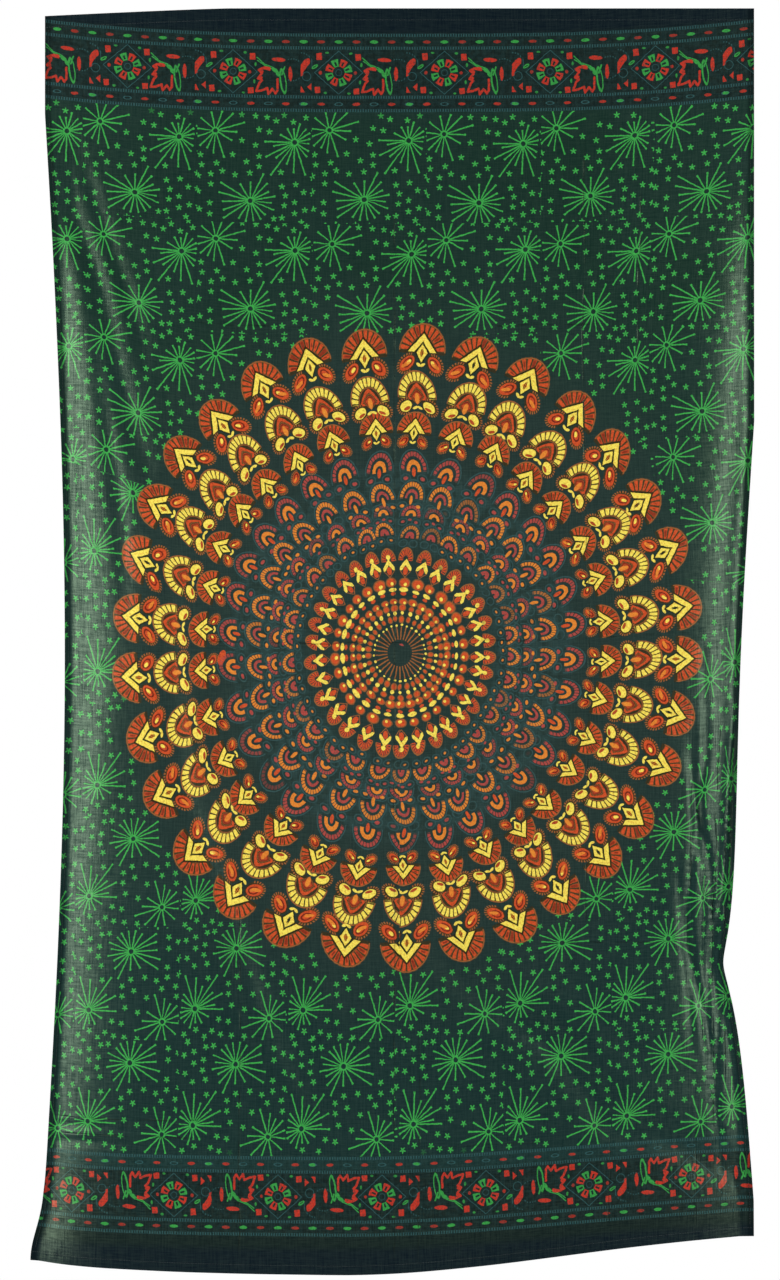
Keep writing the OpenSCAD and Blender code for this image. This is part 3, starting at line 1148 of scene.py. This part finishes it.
def print_place(points, t, u):
    """Where each point of the hung cloth lies on the flat print, in millimetres."""
    steps = np.linalg.norm(np.diff(points, axis=1), axis=-1)
    across = np.concatenate([np.zeros((len(points), 1)), np.cumsum(steps, axis=1)], axis=1)
    middle = np.array([np.interp(0.0, row[:, 0], arc) for row, arc in zip(points, across)])
    x = across - middle[:, None]
    down = TOP - points[..., 2] + 0.65 * lift(u) * t * t
    corner = np.clip(np.abs(x) / 530, 0, 1.1) ** 3
    shifted = down + BOW * corner * (1 - smooth((t - 0.42) / 0.2))
    moved = x.copy()
    for place, by, reach in SHIFTS:
        near = np.exp(-((x - place[0]) / reach[0]) ** 2 - ((down - place[1]) / reach[1]) ** 2)
        moved += by[0] * near
        shifted += by[1] * near
    return np.stack([moved, -shifted], axis=-1)


# The printed materials, in the order that make_prints gives them
FIELD_ZONE, MANDALA_ZONE, RIM_ZONE, BORDER_ZONE = range(4)
INSIDE_RIM = 425                     # the mandala's fans lie over the field from here
OUTSIDE_RIM = 482
BORDER_ROOM = 14


def zone_of(x, y):
    """Which printed material a face needs."""
    radius = math.hypot(x - MANDALA[0], (y - MANDALA[1]) / TALL)
    top, low = BORDER_TOP[1] + LINES[3], BORDER_LOW[1] - LINES[3]
    if y > top - BORDER_ROOM or y < low + BORDER_ROOM:
        return BORDER_ZONE
    if radius < INSIDE_RIM:
        return MANDALA_ZONE
    if radius < OUTSIDE_RIM:
        return RIM_ZONE
    return FIELD_ZONE


def make_cloth(prints):
    u, t = np.meshgrid(COLUMNS, ROWS)
    points = np.stack(hang(u, t), axis=-1)
    place = print_place(points, t, u)
    faces = grid_faces(len(COLUMNS), len(ROWS))
    piece = new_mesh("hung_cloth", points, faces, prints)
    flat = place.reshape(-1, 2)
    layer = piece.data.uv_layers.new(name="print")
    corners = np.zeros(len(piece.data.loops), int)
    piece.data.loops.foreach_get("vertex_index", corners)
    layer.data.foreach_set("uv", (flat[corners] / PER_METRE).ravel())
    # mask of the side hems, which the printed materials darken with painted shade
    hem = piece.data.attributes.new("hem", "FLOAT", "POINT")
    beside = np.minimum(u, 1 - u) * WIDTH
    hem.data.foreach_set("value", (1 - smooth((beside - SIDE_HEM) / 3.0)).ravel())
    middles = flat[np.array(faces)].mean(axis=1)
    piece.data.polygons.foreach_set("material_index", [zone_of(x, y) for x, y in middles])
    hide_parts("printed_cloth")
    return piece


# ---- Hems and stitches
def loft(loops):
    """Faces that join closed loops of points, one after another, with an end on each side."""
    count, size = loops.shape[:2]
    faces = [(j * size + i, j * size + (i + 1) % size, (j + 1) * size + (i + 1) % size,
              (j + 1) * size + i) for j in range(count - 1) for i in range(size)]
    faces.append(tuple(range(size))[::-1])
    faces.append(tuple((count - 1) * size + i for i in range(size)))
    return faces


def make_hem(name, node, u, t, material):
    """A folded hem behind the panel. Rows of u and t run across the hem, columns along it."""
    points, front = surface(u, t)
    rows = len(points)
    bulge = np.sin(np.linspace(0, np.pi, rows)) ** 0.3
    near = points - front * (LAYER * 0.55)
    middle = points - front * (LAYER * 1.5)
    far = middle - front * (LAYER * 0.95 * bulge[:, None, None])
    near = middle + (near - middle) * bulge[:, None, None]
    loops = np.concatenate([near, far[::-1]], axis=0).transpose(1, 0, 2)
    piece = new_mesh(name, loops, loft(loops), [material])
    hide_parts(node)
    return piece


STITCH = 3.1                         # length of one stitch
SEAM_END = 2                         # from the end of a row to its nearest stitch
PITCH = 3.7                          # from the start of one to the start of the next
THREAD = 0.27                        # half the thread's thickness
THREAD_SIDES = 5
# along a stitch: part of its length, height over the cloth, and part of the thread's thickness
STITCH_SHAPE = ((0, -0.2, 0.4), (0.25, 0.22, 1), (0.75, 0.22, 1), (1, -0.2, 0.4))


def make_seam(name, node, u, t, material):
    """A row of stitches, on the front and through the back, along the line given by u and t."""
    points, front = surface(u, t)
    steps = np.linalg.norm(np.diff(points, axis=0), axis=-1)
    far = np.concatenate([[0], np.cumsum(steps)])
    luck = random.Random(name)
    loops, faces = [], []

    def at(place, values):
        return np.array([np.interp(place, far, values[:, i]) for i in range(3)])

    for k in range(int((far[-1] - 2 * SEAM_END) / PITCH)):
        for side, hem in ((1, 0.25 * LAYER), (-1, 2.4 * LAYER)):
            start = SEAM_END + (k + (0.5 if side < 0 else 0)) * PITCH + luck.uniform(-0.2, 0.2)
            slant = luck.uniform(-0.12, 0.12)
            stitch = []
            for part, rise, size in STITCH_SHAPE:
                place = start + part * STITCH
                middle, out = at(place, points), at(place, front)
                ahead = at(place + 1, points) - middle
                ahead /= max(np.linalg.norm(ahead), 1e-6)
                beside = np.cross(out, ahead)
                middle = middle + side * out * (hem + rise) + beside * slant * (2 * part - 1)
                stitch.append([middle + THREAD * size * (math.cos(a) * beside + math.sin(a) * out)
                               for a in np.arange(THREAD_SIDES) * (2 * math.pi / THREAD_SIDES)])
            stitch = np.array(stitch)
            first = THREAD_SIDES * len(STITCH_SHAPE) * len(loops)
            faces += [tuple(first + i for i in face) for face in loft(stitch)]
            loops.append(stitch)
    piece = new_mesh(name, np.array(loops), faces, [material])
    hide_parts(node)
    return piece


def make_edges():
    """The four hems and their four rows of stitches."""
    hem_cotton = plain_cotton("hem_cotton", MARGIN)
    thread = thread_material("dark_thread", (0.012, 0.022, 0.022))
    side, top, bottom = SIDE_HEM / WIDTH, HEM_H / DROP, BOTTOM_HEM / DROP
    stitch_u, stitch_t = STITCH_IN / WIDTH, STITCH_IN / DROP
    wide = np.linspace(0, 1, 260)
    tall = np.linspace(0, 1, 420)
    between = top + (1 - bottom - top) * tall
    made = []
    # name, line along the edge, rows of points across the hem, its two sides, and its row of thread
    for name, line, rows, low, high, seam in (
            ("top", wide, 6, 0, top, top - stitch_t),
            ("bottom", wide, 6, 1 - bottom, 1, 1 - bottom + stitch_t),
            ("left", between, 5, 0, side, side - stitch_u),
            ("right", between, 5, 1 - side, 1, 1 - side + stitch_u)):
        hem = np.meshgrid(line, np.linspace(low, high, rows))
        row = (line, np.full_like(line, seam))
        if line is between:
            hem, row = hem[::-1], row[::-1]
        made.append(make_hem(name + "_folded_hem", name + "_hem", *hem, hem_cotton))
        made.append(make_seam(name + "_stitches", name + "_seam_thread", *row, thread))
    return made


# ---- Floor, light and camera
# In metres, apart from the sensor's millimetres
FLOOR_HALF = 1.0                     # half the side of the floor
FLOOR_BELOW = 0.42                   # from the cloth's lowest point down to the floor
CAMERA_AWAY = 5.0
CAMERA_ASIDE = -0.0148
CAMERA_DOWN = 0.5003                 # where on the cloth it looks, as a part of the drop
FRAME_HEIGHT = DROP * MM * 1.0140    # what the picture takes in from top to bottom
SENSOR = 36.0
WHITE = (1, 1, 1, 1)


def make_floor():
    floor = bpy.data.meshes.new("studio_floor")
    side, level = FLOOR_HALF, cloth_low[2] - FLOOR_BELOW
    floor.from_pydata([(-side, -side, level), (side, -side, level), (side, side, level),
                       (-side, side, level)], [], [(0, 1, 2, 3)])
    piece = bpy.data.objects.new("studio_floor", floor)
    bpy.context.scene.collection.objects.link(piece)
    material, tree, shader = new_material("pale_floor")
    feed(tree, shader, {"Base Color": (0.86, 0.86, 0.85, 1), "Roughness": 0.8})
    floor.materials.append(material)


def area_light(name, place, aim, size, power):
    light = bpy.data.lights.new(name, "AREA")
    light.shape = "RECTANGLE"
    light.size, light.size_y = size
    light.energy = power
    piece = bpy.data.objects.new(name, light)
    piece.location = place
    direction = bpy.data.objects.new(name + "_aim", None)
    direction.location = aim
    bpy.context.scene.collection.objects.link(piece)
    bpy.context.scene.collection.objects.link(direction)
    track = piece.constraints.new("TRACK_TO")
    track.target = direction
    track.track_axis = "TRACK_NEGATIVE_Z"
    track.up_axis = "UP_Y"


def make_world():
    world = bpy.data.worlds.new("studio")
    bpy.context.scene.world = world
    world.use_nodes = True
    tree = world.node_tree
    back = tree.nodes["Background"]
    seen = new_node(tree, "Background", {"Color": WHITE, "Strength": 1.0})
    feed(tree, back, {"Color": WHITE, "Strength": 0.08})
    path = new_num(tree, "LightPath", output="Is Camera Ray")
    mix = new_node(tree, "MixShader", {0: path, 1: Num(tree, back.outputs[0]),
                                       2: Num(tree, seen.outputs[0])})
    tree.links.new(mix.outputs[0], tree.nodes["World Output"].inputs[0])


def make_light():
    middle = (0, 0, (TOP - DROP / 2) * MM)
    area_light("left_box", (-2.7, -1.7, -0.65), middle, (1.5, 2.8), 112)
    area_light("right_box", (2.7, -1.7, -0.55), middle, (1.5, 2.8), 90)
    area_light("back_fill", (0.6, 2.6, 0.2), middle, (2.0, 2.0), 30)


def make_camera():
    data = bpy.data.cameras.new("camera")
    camera = bpy.data.objects.new("camera", data)
    bpy.context.scene.collection.objects.link(camera)
    bpy.context.scene.camera = camera
    data.sensor_fit = "AUTO"
    data.sensor_width = SENSOR
    data.lens = SENSOR * CAMERA_AWAY / FRAME_HEIGHT
    camera.location = (CAMERA_ASIDE, -CAMERA_AWAY, (TOP - DROP * CAMERA_DOWN) * MM)
    camera.rotation_euler = (math.pi / 2, 0, 0)


def main():
    bpy.context.scene.view_settings.view_transform = "Standard"
    make_camera()
    make_world()
    make_light()
    make_floor()
    cloth = make_cloth(make_prints())
    edges = make_edges()


main()
